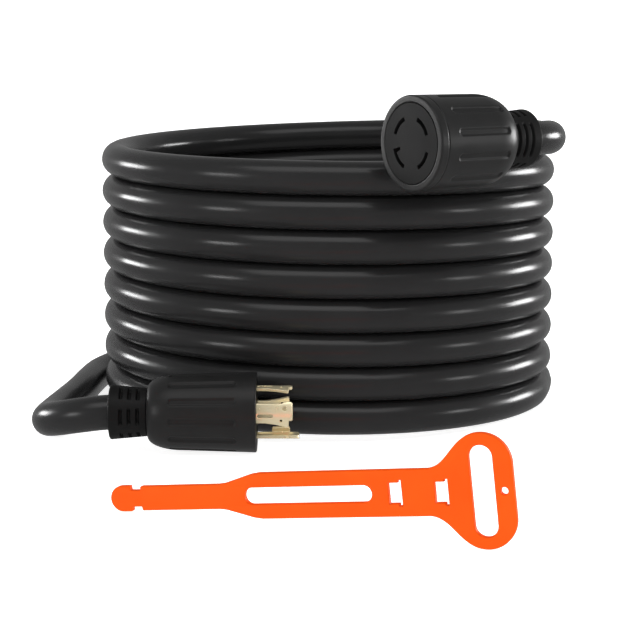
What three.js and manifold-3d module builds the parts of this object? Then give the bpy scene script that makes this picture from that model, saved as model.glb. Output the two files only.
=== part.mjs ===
// Shore power cord: a coiled four-core extension lead with a locking plug, a locking
// connector and a moulded cable strap.  Millimetres, +Z up, standing on the floor at z = 0.
// Every piece is laid out about the coil's axis; the last lines move the whole set so that
// the origin is the middle of its footprint.

import * as THREE from 'three';
import { mergeVertices } from 'three/addons/utils/BufferGeometryUtils.js';
import Module from 'manifold-3d';

const wasm = await Module();
wasm.setup();

// ---------------------------------------------------------------- driving dimensions

const CORD_D = 17.8; // jacket diameter of the four-core cord
const CORD_R = CORD_D / 2;
const CORD_SIDES = 10;
const GAP = 0.3; // air left between pieces that touch

const COIL_R = 120.4; // radius of the coil at the middle of the cord
const TURNS = 8;
const LEFT_LIFT = 6.6; // what a turn still has to drop after half a turn round the back
const TAIL_SPREAD = 18.6; // how far the last turn moves out, to lie beside the stack
const SPREAD_LEAD = 12; // degrees before the right-hand side at which it starts to
const COIL_CORNER = 6; // rounding of the ring that stands for the wound turns

const BLADE_R = 12.7; // middle of the curved blades, from the plug's axis
const BLADE_T = 1.5;
const BLADE_ROOT_Z = -17;
const BLADE_TIP_Z = 17.9;
const BLADE_LOCK_Z = [10.5, 16.5]; // wider part of a blade, which locks behind its contact
const GROUND_TIP_Z = 21.4;
const GROUND_LEG_Z = [7.5, 16.6];
const BARREL_X = 11.5; // crimp barrels, from the same axis
const BARREL_R = 2.7;
const BARREL_BORE = 1.95;
const PLUG_BARREL_Z = [-16.4, -25.5]; // front and back of the crimp barrels
const CONNECTOR_BARREL_Z = [-23, -31.2];
const WIRE_R = 2.4; // insulated conductor
const WIRE_BORE = 1.9;
const STRAND_R = 1.5; // bare copper
const LAY_R = 4.3; // conductors inside the jacket, from its axis

const RELIEF_L = 19.2; // strain relief outside the shell
const RELIEF_BORE = 9.3;
const RELIEF_NECK = 11.6;
const RELIEF_FLANGE = 14.5; // inner flange that keeps it in the shell
const RELIEF_SLOT_PLACES = [6.3, 10.5, 14.8]; // slots, from the end where the cord comes out
const RELIEF_SLOT_FLOOR = 11.2; // radius that the slots reach in to
const RELIEF_SLOT_L = 1.9;
const BACK_WALL = 8; // shell wall that the relief's neck passes through

const GROOVES = 12; // finger grooves round a shell
const GROOVE_W = 3.6;
const GROOVE_DEPTH = 0.8;

const CONTACT_HALF = 2.3; // half the thickness of a folded spring contact
const CONTACT_THROAT = 1.1; // half the gap that its blade goes into
const PLUG_FACE_L = 5;
const PLUG_CORE_BACK = -16;
const CONNECTOR_FACE_L = 6;
const CARRIER_BACK = -23;
const POCKET_OUTER = 15.4;

// Contact places round the axis, in degrees, seen from in front of the connector.
const POLES = [
  { name: 'hot_x', angle: 137, wire: 0x141414 },
  { name: 'neutral', angle: 45, wire: 0xe8e6e0 },
  { name: 'hot_y', angle: 319, wire: 0xb4231d },
  { name: 'ground', angle: 220, wire: 0x1f7a3d },
];
const POLE_SPAN = 46;
const GROUND_SPAN = 50;
const HOOK_L = 3; // leg that makes the ground blade L-shaped

const PLUG = {
  name: 'plug',
  front: 20.4,
  rear: 19.3,
  length: 55,
  domeStart: 37.5,
  domeEnd: 12.6,
  inner: 17.2,
  grooves: [10, 44], // from the face
  groovesAt: 4, // degrees round the axis to the first one
  reliefRoot: 12.2,
  reliefEnd: 13.8,
  slotsRound: 6,
  slotSpan: 38,
  roll: -50, // turns the contact pattern until the ground blade is lowest
  mirror: -1, // a plug faces its connector, so its pattern is the mirror image
};
const CONNECTOR = {
  name: 'connector',
  front: 23.7,
  rear: 23.5,
  length: 55.8,
  domeStart: 39,
  domeEnd: 14.8,
  inner: 20,
  grooves: [12, 46],
  groovesAt: 15,
  reliefRoot: 13.8,
  reliefEnd: 15,
  slotsRound: 4,
  slotSpan: 72,
  mirror: 1,
};

const PLUG_FACE = new THREE.Vector3(-36.5, -145, PLUG.front);
const CONNECTOR_FACE = new THREE.Vector3(39.7, -155.2, 156.4);
const CONNECTOR_YAW = 37; // degrees from +X to the way the connector's cord leaves

const STRAP_T = 3;
const STRAP_FOOT = new THREE.Vector3(65.2, -321, 0); // where the handle meets the floor
const STRAP_YAW = -21;
const STRAP_HANDLE_H = 24.5; // half heights of the outline, from tip to handle
const STRAP_BODY_H = 10.1;
const STRAP_STRIP_H = 5.5;
const STRAP_NECK_H = 3.75;
const STRAP_HEAD_R = 5.8;
const STRAP_HANDLE_X = 13; // stations along the strap, from the handle slot's middle
const STRAP_BODY_X = -101.5;
const STRAP_STRIP_X = -116;
const STRAP_NECK_X = -157;
const STRAP_HEAD_X = -161.8;
const STRAP_TIP_X = -172;
const STRAP_HEAD_SLOPE = 1.1; // how far the head's shoulder slopes back
const STRAP_FLARE = [[-23.5, STRAP_BODY_H], [-14, STRAP_BODY_H + 1], [-12, STRAP_HANDLE_H], [0, STRAP_HANDLE_H]];
const HANDLE_SLOT = [-5.2, 4.8, 19.3]; // from, to, and half height
const LONG_SLOT = [-107, -48.7, 3.65];
const LOCK_SLOTS = [-41.2, -20.9];
const EYE_X = 8.8;
const EYE_R = 1.5;

// ---------------------------------------------------------------- helpers

const rad = THREE.MathUtils.degToRad;
const at = (radius, degrees) => [radius * Math.cos(rad(degrees)), radius * Math.sin(rad(degrees))];
const vec = (x, y, z) => new THREE.Vector3(x, y, z);

// Position-only copy of a geometry with shared vertices and no collapsed triangles.
function welded(geometry) {
  const bare = geometry.clone();
  bare.deleteAttribute('normal');
  bare.deleteAttribute('uv');
  const merged = mergeVertices(bare, 1e-4);
  const kept = [];
  const index = merged.index.array;
  for (let i = 0; i < index.length; i += 3) {
    const [a, b, c] = [index[i], index[i + 1], index[i + 2]];
    if (a !== b && b !== c && c !== a) kept.push(a, b, c);
  }
  merged.setIndex(kept);
  return merged;
}

// Six times the signed volume: negative when the faces point inwards.
function signedVolume(geometry) {
  const p = geometry.attributes.position;
  const [a, b, c] = [vec(), vec(), vec()];
  let sum = 0;
  for (let i = 0; i < geometry.index.count; i += 3) {
    a.fromBufferAttribute(p, geometry.index.getX(i));
    b.fromBufferAttribute(p, geometry.index.getX(i + 1));
    c.fromBufferAttribute(p, geometry.index.getX(i + 2));
    sum += a.dot(b.cross(c));
  }
  return sum;
}

function toSolid(geometry) {
  const g = welded(geometry);
  if (signedVolume(g) < 0) g.setIndex(Array.from(g.index.array).reverse());
  const vertProperties = new Float32Array(g.attributes.position.array);
  const triVerts = new Uint32Array(g.index.array);
  return new wasm.Manifold(new wasm.Mesh({ numProp: 3, vertProperties, triVerts }));
}

function toGeometry(solid) {
  const mesh = solid.getMesh();
  const geometry = new THREE.BufferGeometry();
  geometry.setAttribute('position', new THREE.BufferAttribute(mesh.vertProperties, 3));
  geometry.setIndex(new THREE.BufferAttribute(mesh.triVerts, 1));
  geometry.computeVertexNormals();
  return geometry;
}

const cut = (solid, cutters) => cutters.reduce((left, cutter) => left.subtract(cutter), solid);
const join = (solids) => solids.reduce((sum, next) => sum.add(next));

// Round piece about +Z, from a closed outline of [radius, z] points.
function turned(points, segments = 32) {
  const loop = [...points, points[0]].map(([r, z]) => new THREE.Vector2(r, z));
  const lathe = new THREE.LatheGeometry(loop, segments);
  return toSolid(lathe.rotateX(Math.PI / 2));
}

// Flat outline in XY, raised from z = low to z = high.
function raised(shape, low, high, curveSegments = 6) {
  const options = { depth: high - low, bevelEnabled: false, curveSegments };
  return toSolid(new THREE.ExtrudeGeometry(shape, options).translate(0, 0, low));
}

// Section swept along a curve; `bore` leaves it open from end to end.
function swept(curve, radius, steps, sides = CORD_SIDES, bore = 0) {
  const section = new THREE.Shape();
  section.absarc(0, 0, radius, 0, 2 * Math.PI);
  if (bore) section.holes.push(new THREE.Path().absarc(0, 0, bore, 0, 2 * Math.PI, true));
  const options = { extrudePath: curve, steps, curveSegments: sides / 2, bevelEnabled: false };
  return toSolid(new THREE.ExtrudeGeometry(section, options));
}

function disc(radius, holes = []) {
  const shape = new THREE.Shape();
  shape.absarc(0, 0, radius, 0, 2 * Math.PI);
  shape.holes.push(...holes);
  return shape;
}

// Curved bar between two radii, `span` degrees wide; `hook` adds an inward leg at its start.
function arcBar(inner, outer, angle, span, hook = 0, hookT = BLADE_T, steps = 5) {
  const start = angle - span / 2;
  const legSpan = hook ? THREE.MathUtils.radToDeg(hookT / inner) : 0;
  const points = [];
  for (let i = 0; i <= steps; i++) points.push(at(outer, start + (span * i) / steps));
  for (let i = steps; i >= 0; i--) points.push(at(inner, start + legSpan + ((span - legSpan) * i) / steps));
  if (hook) points.push(at(inner - hook, start + legSpan), at(inner - hook, start));
  return points.map(([x, y]) => new THREE.Vector2(x, y));
}

// Mirrored or rolled copy of a pole's place for one end of the cord.
function poleAngle(pole, end) {
  return end.mirror > 0 ? pole.angle : 180 - pole.angle + end.roll;
}

// The ground leg starts at the low-angle side of a connector and the high side of a plug.
function poleBar(pole, end, grow, hooked) {
  const ground = pole.name === 'ground';
  const inner = BLADE_R - BLADE_T / 2 - grow;
  const outer = BLADE_R + BLADE_T / 2 + grow;
  const extra = THREE.MathUtils.radToDeg((2 * grow) / BLADE_R);
  const span = (ground ? GROUND_SPAN : POLE_SPAN) + extra;
  const hook = ground && hooked ? HOOK_L : 0;
  if (end.mirror > 0) return arcBar(inner, outer, pole.angle, span, hook, BLADE_T + 2 * grow);
  const flipped = arcBar(inner, outer, 180 - poleAngle(pole, end), span, hook, BLADE_T + 2 * grow);
  return flipped.map((p) => new THREE.Vector2(-p.x, p.y)).reverse();
}

function paint(color, roughness, metalness = 0) {
  return new THREE.MeshStandardMaterial({ color, roughness, metalness });
}

const RUBBER = () => paint(0x1c1c1d, 0.35);
const SOFT_BLACK = () => paint(0x121212, 0.6);
const SHELL_BLACK = () => paint(0x222223, 0.5);
const INSULATOR = () => paint(0x262627, 0.6);
const BRASS = () => paint(0xd8c27a, 0.3, 1);
const COPPER = () => paint(0xb8683c, 0.4, 1);
const ORANGE = () => paint(0xff5f0a, 0.45);

function piece(name, solid, material) {
  const mesh = new THREE.Mesh(toGeometry(solid), material);
  mesh.name = name;
  return mesh;
}

// ---------------------------------------------------------------- cord

// What the cord has dropped after turning `degrees` from the right-hand side: most of a
// turn's drop happens round the back, so the turns lie nearly level in front.
function drop(degrees) {
  const level = CORD_D / 2 - LEFT_LIFT;
  return (CORD_D * degrees) / 360 + (level * (1 - Math.cos(rad(degrees)))) / 2;
}

const COIL_TOP_Z = TURNS * CORD_D + CORD_R; // the cord's middle where it meets the coil

function topTurnPoint(degrees) {
  const [x, y] = at(COIL_R, degrees);
  return vec(x, y, COIL_TOP_Z - drop(degrees));
}

// The last turn moves out round the back, because there is no room for it under the stack.
function tailTurnPoint(degrees) {
  const share = (degrees + SPREAD_LEAD) / (180 + SPREAD_LEAD);
  const out = TAIL_SPREAD * Math.sin(share * Math.PI / 2) ** 0.8;
  const [x, y] = at(COIL_R + out, degrees);
  return vec(x, y, CORD_R + 0.05);
}

// Curve through a turn's places, with a close pair at each end to square its ends off.
function arcPath(from, to, step, place) {
  const points = [place(from)];
  for (let a = from + 1; a < to - 1; a += step) points.push(place(a));
  points.push(place(to - 1), place(to));
  return new THREE.CatmullRomCurve3(points);
}

// Outer shape of the wound turns: a rounded ring, with the first and last turn where they
// leave it.
function coilSolid() {
  const height = TURNS * CORD_D;
  const corner = COIL_CORNER;
  const [low, high] = [COIL_R - CORD_R, COIL_R + CORD_R];
  const profile = [];
  const corners = [
    [high - corner, corner, -90],
    [high - corner, height - corner, 0],
    [low + corner, height - corner, 90],
    [low + corner, corner, 180],
  ];
  for (const [r, z, first] of corners) {
    for (const turn of [0, 45, 90]) {
      const [dr, dz] = at(corner, first + turn);
      profile.push([r + dr, z + dz]);
    }
  }
  const ring = turned(profile, 48);
  const top = swept(arcPath(6, 341, 14, topTurnPoint), CORD_R, 26, 8);
  const tail = swept(arcPath(-11, 179.8, 14, tailTurnPoint), CORD_R, 15, 8);
  return join([ring, top, tail]);
}

// Plug's stretch: out of the relief, down to the floor and round to the back of the stack.
const PLUG_ROUTE = [
  [-83.8, -145, 20.4],
  [-97, -145, 20.4],
  [-112, -145, 20.3],
  [-126.7, -142.6, 18.2],
  [-137.1, -135.6, 15.4],
  [-144.1, -125.2, 12.6],
  [-146.5, -113, 10.4],
  [-146.2, -90, 9.1],
  [-143.4, -60, 8.95],
  [-140.6, -30, 8.95],
  [-139, 0, 8.95],
];

// Connector's stretch: out of the relief and round onto the top of the stack.
const CONNECTOR_ROUTE = [
  [78.2, -126.2, 156.4],
  [88, -118.8, 156.4],
  [99.2, -110.4, 156.4],
  [108.7, -100.9, 156.2],
  [115.1, -88.2, 155.8],
  [117.2, -74, 155.2],
  [116.9, -59, 154.4],
  [116.7, -43, 153.6],
  [117.7, -26, 152.8],
  [119.3, -9, 152.1],
  [120.15, 7.4, 151.8],
  [119.8, 12, 151.75],
];

function routeSolid(route, steps) {
  const curve = new THREE.CatmullRomCurve3(route.map(([x, y, z]) => vec(x, y, z)), false, 'centripetal');
  return swept(curve, CORD_R, steps);
}

// ---------------------------------------------------------------- plug and connector bodies

function domeProfile(end) {
  const points = [];
  const depth = end.length - end.domeStart;
  const fall = end.rear - end.domeEnd;
  for (const degrees of [0, 25, 48, 68, 90]) {
    const r = end.domeEnd + fall * Math.cos(rad(degrees));
    points.push([r, -end.domeStart - depth * Math.sin(rad(degrees))]);
  }
  return points;
}

// Moulded body: open in front for the face, with a hole behind for the relief's neck.
function shellSolid(end) {
  const back = end.length - BACK_WALL;
  const profile = [
    [end.inner, 0],
    [end.front, 0],
    ...domeProfile(end),
    [RELIEF_NECK + GAP, -end.length],
    [RELIEF_NECK + GAP, -back],
    [end.inner - 1.6, -back],
    [end.inner, -back + 7],
  ];
  const [near, far] = end.grooves;
  const slot = new THREE.Shape();
  slot.absarc(0, -near - GROOVE_W / 2, GROOVE_W / 2, 0, Math.PI);
  slot.absarc(0, -far + GROOVE_W / 2, GROOVE_W / 2, Math.PI, 2 * Math.PI);
  const taper = Math.atan((end.front - end.rear) / end.domeStart);
  const options = { depth: 3, bevelEnabled: false, curveSegments: 2 };
  const cutters = [];
  for (let i = 0; i < GROOVES; i++) {
    const groove = new THREE.ExtrudeGeometry(slot, options);
    groove.rotateX(Math.PI / 2);
    groove.translate(0, options.depth, 0);
    groove.rotateX(-taper);
    groove.translate(0, end.front - GROOVE_DEPTH, 0);
    groove.rotateZ(rad(end.groovesAt + (360 * i) / GROOVES));
    cutters.push(toSolid(groove));
  }
  return cut(turned(profile), cutters);
}

// Ribbed sleeve behind the shell, held by a neck and an inner flange.
function reliefSolid(end) {
  const back = end.length - BACK_WALL;
  const tail = end.length + RELIEF_L;
  const profile = [
    [RELIEF_BORE, -back + 3.3],
    [RELIEF_FLANGE, -back + 3.3],
    [RELIEF_FLANGE, -back + GAP],
    [RELIEF_NECK, -back + GAP],
    [RELIEF_NECK, -end.length - GAP],
    [end.reliefRoot, -end.length - GAP],
    [end.reliefEnd, -tail + 1],
    [end.reliefEnd - 0.8, -tail],
    [RELIEF_BORE, -tail],
  ];
  const cutters = [];
  for (const place of RELIEF_SLOT_PLACES) {
    const low = place - tail - RELIEF_SLOT_L / 2;
    for (let i = 0; i < end.slotsRound; i++) {
      const angle = (360 * i) / end.slotsRound;
      const bar = arcBar(RELIEF_SLOT_FLOOR, end.reliefEnd + 2, angle, end.slotSpan, 0, 0, 3);
      cutters.push(raised(new THREE.Shape(bar), low, low + RELIEF_SLOT_L));
    }
  }
  return cut(turned(profile), cutters);
}

// Insulating disc with the four blade slots; the ground slot takes the L-shaped blade.
function faceSolid(end, low, high, grow) {
  const holes = POLES.map((pole) => new THREE.Path(poleBar(pole, end, grow, true)));
  return raised(disc(end.inner - GAP, holes), low, high, 16);
}

function barrelSolid(angle, front, back) {
  const tube = turned([[BARREL_BORE, back], [BARREL_R, back], [BARREL_R, front], [BARREL_BORE, front]], 10);
  const [x, y] = at(BARREL_X, angle);
  return tube.translate(x, y, 0);
}

// Stamped brass blade: a narrow root, a wider locking tip and a crimp barrel behind.
function bladeSolid(pole) {
  const ground = pole.name === 'ground';
  const root = new THREE.Shape(poleBar(pole, PLUG, 0, false));
  const tip = ground ? GROUND_TIP_Z : BLADE_TIP_Z;
  const parts = [raised(root, BLADE_ROOT_Z, tip), barrelSolid(poleAngle(pole, PLUG), ...PLUG_BARREL_Z)];
  if (ground) {
    parts.push(raised(new THREE.Shape(poleBar(pole, PLUG, 0, true)), ...GROUND_LEG_Z));
  } else {
    const wide = arcBar(BLADE_R - BLADE_T / 2, BLADE_R + BLADE_T / 2, poleAngle(pole, PLUG) + 5, 56);
    parts.push(raised(new THREE.Shape(wide), ...BLADE_LOCK_Z));
  }
  return join(parts);
}

// Spring contact: a folded brass channel open towards the face, with a crimp barrel behind.
function contactSolid(pole) {
  const bar = arcBar(BLADE_R - CONTACT_HALF, BLADE_R + CONTACT_HALF, pole.angle, 58);
  const gap = arcBar(BLADE_R - CONTACT_THROAT, BLADE_R + CONTACT_THROAT, pole.angle, 54);
  const outer = raised(new THREE.Shape(bar), CARRIER_BACK - 0.2, -CONNECTOR_FACE_L - 1);
  const throat = raised(new THREE.Shape(gap), CARRIER_BACK + 1, -CONNECTOR_FACE_L);
  return join([outer.subtract(throat), barrelSolid(pole.angle, ...CONNECTOR_BARREL_Z)]);
}

// Block behind the connector's face, with one pocket for each spring contact.
function carrierSolid() {
  const pockets = POLES.map((pole) => {
    const inner = pole.name === 'ground' ? 8.6 : 10;
    return new THREE.Path(arcBar(inner, POCKET_OUTER, pole.angle, 62));
  });
  return raised(disc(CONNECTOR.inner - GAP, pockets), CARRIER_BACK, -CONNECTOR_FACE_L - GAP, 16);
}

// One conductor from its crimp barrel in to the bundle at the jacket's end.
function wirePath(angle, from, to) {
  const [x, y] = at(BARREL_X, angle);
  const [u, v] = at(LAY_R, angle);
  const reach = (from - to) * 0.45;
  return new THREE.CubicBezierCurve3(vec(x, y, from), vec(x, y, from - reach), vec(u, v, to + reach), vec(u, v, to));
}

function strandPath(angle, tip, from, to) {
  const [x, y] = at(BARREL_X, angle);
  const path = new THREE.CurvePath();
  path.add(new THREE.LineCurve3(vec(x, y, tip), vec(x, y, from)));
  path.add(wirePath(angle, from, to));
  return path;
}

function addWires(group, end, [barrelFront, barrelBack]) {
  const to = -(end.length - BACK_WALL) + 0.5;
  for (const pole of POLES) {
    const angle = poleAngle(pole, end);
    const wire = swept(wirePath(angle, barrelBack - 0.5, to), WIRE_R, 6, 8, WIRE_BORE);
    const strands = swept(strandPath(angle, barrelFront - 1, barrelBack - 0.5, to), STRAND_R, 8, 6);
    group.add(piece(`${end.name}_wire_${pole.name}`, wire, paint(pole.wire, 0.4)));
    group.add(piece(`${end.name}_strands_${pole.name}`, strands, COPPER()));
  }
}

// Stands a group so that its local +Z looks along `direction` and its +Y stays upright.
function aim(group, place, direction) {
  const up = vec(0, 0, 1);
  const side = vec().crossVectors(up, direction);
  group.quaternion.setFromRotationMatrix(new THREE.Matrix4().makeBasis(side, up, direction));
  group.position.copy(place);
}

function plugGroup() {
  const group = new THREE.Group();
  group.add(piece('plug_shell', shellSolid(PLUG), SHELL_BLACK()));
  group.add(piece('plug_strain_relief', reliefSolid(PLUG), SOFT_BLACK()));
  group.add(piece('plug_face', faceSolid(PLUG, -PLUG_FACE_L, 0, GAP), INSULATOR()));
  group.add(piece('plug_core', faceSolid(PLUG, PLUG_CORE_BACK, -PLUG_FACE_L - GAP, GAP), INSULATOR()));
  for (const pole of POLES) group.add(piece(`plug_blade_${pole.name}`, bladeSolid(pole), BRASS()));
  addWires(group, PLUG, PLUG_BARREL_Z);
  aim(group, PLUG_FACE, vec(1, 0, 0));
  return group;
}

function connectorGroup() {
  const group = new THREE.Group();
  group.add(piece('connector_shell', shellSolid(CONNECTOR), SHELL_BLACK()));
  group.add(piece('connector_strain_relief', reliefSolid(CONNECTOR), SOFT_BLACK()));
  group.add(piece('connector_face', faceSolid(CONNECTOR, -CONNECTOR_FACE_L, 0, 0.25), INSULATOR()));
  group.add(piece('connector_carrier', carrierSolid(), INSULATOR()));
  for (const pole of POLES) group.add(piece(`connector_contact_${pole.name}`, contactSolid(pole), BRASS()));
  addWires(group, CONNECTOR, CONNECTOR_BARREL_Z);
  const [x, y] = at(-1, CONNECTOR_YAW);
  aim(group, CONNECTOR_FACE, vec(x, y, 0));
  return group;
}

// ---------------------------------------------------------------- strap

// One side of the outline, from the tip to the handle's end; `side` is +1 above, -1 below.
function strapEdge(side) {
  const points = [];
  for (const degrees of [180, 157, 134, 112, 90]) {
    const [x, y] = at(STRAP_HEAD_R, degrees);
    points.push([STRAP_TIP_X + STRAP_HEAD_R + x, y]);
  }
  points.push([STRAP_HEAD_X - STRAP_HEAD_SLOPE, STRAP_HEAD_R], [STRAP_HEAD_X, STRAP_NECK_H]);
  points.push([STRAP_NECK_X, STRAP_NECK_H], [STRAP_NECK_X + 1.5, STRAP_STRIP_H]);
  points.push([STRAP_STRIP_X, STRAP_STRIP_H], [STRAP_BODY_X, STRAP_BODY_H], STRAP_FLARE[0]);
  const flare = new THREE.CubicBezierCurve(...STRAP_FLARE.map(([x, y]) => new THREE.Vector2(x, y)));
  points.push(...flare.getPoints(7).slice(1).map((p) => [p.x, p.y]));
  for (const degrees of [72, 54, 36, 18, 0]) {
    const [x, y] = at(STRAP_HANDLE_X, degrees);
    points.push([x, STRAP_HANDLE_H - STRAP_HANDLE_X + y]);
  }
  return points.map(([x, y]) => new THREE.Vector2(x, side * y));
}

function roundSlot(fromX, toX, halfHeight) {
  const path = new THREE.Path();
  const radius = Math.min(halfHeight, (toX - fromX) / 2);
  const middle = (fromX + toX) / 2;
  if (halfHeight > radius) {
    path.absarc(middle, halfHeight - radius, radius, 0, Math.PI);
    path.absarc(middle, radius - halfHeight, radius, Math.PI, 2 * Math.PI);
  } else {
    path.absarc(fromX + radius, 0, radius, Math.PI / 2, 1.5 * Math.PI);
    path.absarc(toX - radius, 0, radius, -Math.PI / 2, Math.PI / 2);
  }
  return path;
}

// Window with a taller slit on its handle side, where the head locks.
function lockSlot(x) {
  const [w, slit, h, tall] = [4.3, 1.4, 4.4, 5.5];
  const corners = [[0, -h], [w, -h], [w, -tall], [w + slit, -tall], [w + slit, tall], [w, tall], [w, h], [0, h]];
  return new THREE.Path(corners.map(([dx, y]) => new THREE.Vector2(x + dx, y)));
}

function strapSolid() {
  const upper = strapEdge(1);
  const lower = strapEdge(-1).slice(1).reverse();
  const shape = new THREE.Shape([...upper, ...lower]);
  const eye = new THREE.Path().absarc(EYE_X, 0, EYE_R, 0, 2 * Math.PI);
  shape.holes.push(roundSlot(...HANDLE_SLOT), roundSlot(...LONG_SLOT), eye);
  shape.holes.push(...LOCK_SLOTS.map(lockSlot));
  return raised(shape, -STRAP_T / 2, STRAP_T / 2, 5);
}

// The strap stands on its lower edge, on the handle's lobe and on the round head.
function strapGroup() {
  const group = new THREE.Group();
  const run = STRAP_TIP_X + STRAP_HEAD_R;
  const rise = STRAP_HANDLE_H - STRAP_HEAD_R;
  const tilt = Math.atan2(rise, -run);
  const lift = STRAP_HANDLE_X + (STRAP_HANDLE_H - STRAP_HANDLE_X) * Math.cos(tilt);
  group.add(piece('strap', strapSolid(), ORANGE()));
  group.children[0].rotation.set(Math.PI / 2, 0, 0);
  const lean = new THREE.Group();
  lean.add(group);
  lean.rotation.y = -tilt;
  lean.position.set(-STRAP_HANDLE_H * Math.sin(tilt), 0, lift);
  const stand = new THREE.Group();
  stand.add(lean);
  stand.rotation.z = rad(STRAP_YAW);
  stand.position.copy(STRAP_FOOT);
  return stand;
}

// ---------------------------------------------------------------- assembly

const cordSet = new THREE.Group();
cordSet.add(piece('cord_coil', coilSolid(), RUBBER()));
cordSet.add(piece('plug_tail', routeSolid(PLUG_ROUTE, 24), RUBBER()));
cordSet.add(piece('connector_tail', routeSolid(CONNECTOR_ROUTE, 18), RUBBER()));
cordSet.add(plugGroup());
cordSet.add(connectorGroup());
cordSet.add(strapGroup());

const footprint = new THREE.Box3().setFromObject(cordSet, true);
const middle = footprint.getCenter(vec());
cordSet.position.set(-middle.x, -middle.y, 0);

export default cordSet;
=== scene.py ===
# %% [markdown]
# # A coiled shore power cord, with its plug, its connector and its strap
# A shore power cord carries the mains from a pedestal to a parked caravan. This one is a
# thick four-core cable wound into an upright stack of eight turns. A locking plug lies on
# the floor in front, a locking connector leans on the top turn, and a flat orange strap
# that ties the coil for storage stands on its edge beside it.
#
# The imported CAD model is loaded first, as a fixed frame. Everything made below goes where
# that frame says, in metres, on a floor at z = 0. Small parts are drawn in millimetres about
# their own axis, where their sizes are easy to read, and are scaled once when they are placed.

# %% Load the frame
import math

import bmesh
import bpy
from mathutils import Matrix, Vector


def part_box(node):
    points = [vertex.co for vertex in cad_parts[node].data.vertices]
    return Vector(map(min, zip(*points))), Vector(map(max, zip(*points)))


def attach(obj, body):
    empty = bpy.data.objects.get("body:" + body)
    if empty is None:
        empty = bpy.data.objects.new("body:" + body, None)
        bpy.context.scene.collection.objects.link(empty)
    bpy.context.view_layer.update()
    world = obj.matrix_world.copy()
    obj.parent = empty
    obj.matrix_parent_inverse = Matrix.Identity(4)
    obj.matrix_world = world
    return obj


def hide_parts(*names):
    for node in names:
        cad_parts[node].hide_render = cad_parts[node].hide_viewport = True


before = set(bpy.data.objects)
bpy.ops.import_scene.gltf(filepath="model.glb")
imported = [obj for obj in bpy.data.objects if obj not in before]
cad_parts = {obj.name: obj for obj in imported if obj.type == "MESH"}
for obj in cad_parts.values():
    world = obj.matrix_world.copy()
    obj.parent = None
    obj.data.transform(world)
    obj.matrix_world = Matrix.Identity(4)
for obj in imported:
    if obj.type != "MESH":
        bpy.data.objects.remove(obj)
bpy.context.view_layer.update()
scene = bpy.context.scene
MM = 0.001

# %% Find the coil's axis from the plug's face
PLUG_FACE = (-36.5, -145, 20.4)  # middle of the face, from the coil's axis, in millimetres
face_low, face_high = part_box("plug_face")
face_y = (face_low.y + face_high.y) / 2
COIL = Vector((face_high.x - PLUG_FACE[0] * MM, face_y - PLUG_FACE[1] * MM, 0))
print("coil axis at", [round(c, 4) for c in COIL])

# %% [markdown]
# ## The camera
# A long lens from about a metre away keeps the turns nearly parallel. It stands a little
# higher than the coil and looks down nine degrees, so the inside of the back turn just shows
# over the front one.

# %% Stand the camera in front
LENS = 100.4
CAMERA_FROM_COIL = Vector((-0.0046, -1.030, 0.207))
LOOKS_DOWN = 8.955

camera_data = bpy.data.cameras.new("camera")
camera_data.lens = LENS
camera = bpy.data.objects.new("camera", camera_data)
camera.location = COIL + CAMERA_FROM_COIL
camera.rotation_euler = (math.radians(90 - LOOKS_DOWN), 0, 0)
scene.collection.objects.link(camera)
scene.camera = camera
print("camera at", [round(c, 3) for c in camera.location], "lens", LENS, "mm")

# %% [markdown]
# ## Nodes by name
# Geometry trees and materials are both graphs of nodes. Two small helpers keep them short
# enough to read: one adds a node and plugs its inputs in, and one adds a sum, so a formula
# can be written almost as it is on paper.


# %% Helpers for node graphs
def add(tree, kind, inputs=None, **settings):
    """A new node. An input is a value, or the output of another node, which is then linked."""
    node = tree.nodes.new(kind)
    for name, value in settings.items():
        setattr(node, name, value)
    for key, value in (inputs or {}).items():
        if isinstance(value, bpy.types.NodeSocket):
            tree.links.new(value, node.inputs[key])
        else:
            node.inputs[key].default_value = value
    return node


def calc(tree, operation, *values):
    """The result of one sum on numbers or sockets."""
    node = add(tree, "ShaderNodeMath", dict(enumerate(values)), operation=operation)
    return node.outputs[0]


def new_tree(name, inputs):
    """An empty geometry tree with a geometry input and output and the named inputs."""
    tree = bpy.data.node_groups.new(name, "GeometryNodeTree")
    tree.interface.new_socket("Geometry", in_out="INPUT", socket_type="NodeSocketGeometry")
    for label, kind in inputs:
        tree.interface.new_socket(label, in_out="INPUT", socket_type="NodeSocket" + kind)
    tree.interface.new_socket("Geometry", in_out="OUTPUT", socket_type="NodeSocketGeometry")
    return tree, add(tree, "NodeGroupInput").outputs


def end_tree(tree, geometry, material):
    """Realizes what the tree made, gives it its material, and sends it out."""
    real = add(tree, "GeometryNodeRealizeInstances", {"Geometry": geometry}).outputs[0]
    done = add(tree, "GeometryNodeSetMaterial", {"Geometry": real, "Material": material})
    add(tree, "NodeGroupOutput", {"Geometry": done.outputs[0]})


def add_modifier(obj, tree, values):
    """Puts a tree on an object and sets its inputs, each by its socket's identifier."""
    modifier = obj.modifiers.new(tree.name, "NODES")
    modifier.node_group = tree
    for socket in tree.interface.items_tree:
        if socket.in_out == "INPUT" and socket.name in values:
            modifier[socket.identifier] = values[socket.name]


def baked(obj):
    """The object's shape with its modifiers applied, as a plain mesh; the object goes."""
    if obj.name not in scene.collection.objects:
        scene.collection.objects.link(obj)
    graph = bpy.context.evaluated_depsgraph_get()
    mesh = bpy.data.meshes.new_from_object(obj.evaluated_get(graph))
    bpy.data.objects.remove(obj)
    return mesh


# %% [markdown]
# ## Finishes
# Every black here is a different black. The jacket is glossy and drawn through a die, so it
# has faint lengthwise streaks. The shells are satin mouldings with a fine spark-eroded
# grain, and the sleeves are softer and duller. The streaks and grain are bump, because they
# are hundredths of a millimetre deep; anything a finger could feel is geometry further on.


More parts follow.
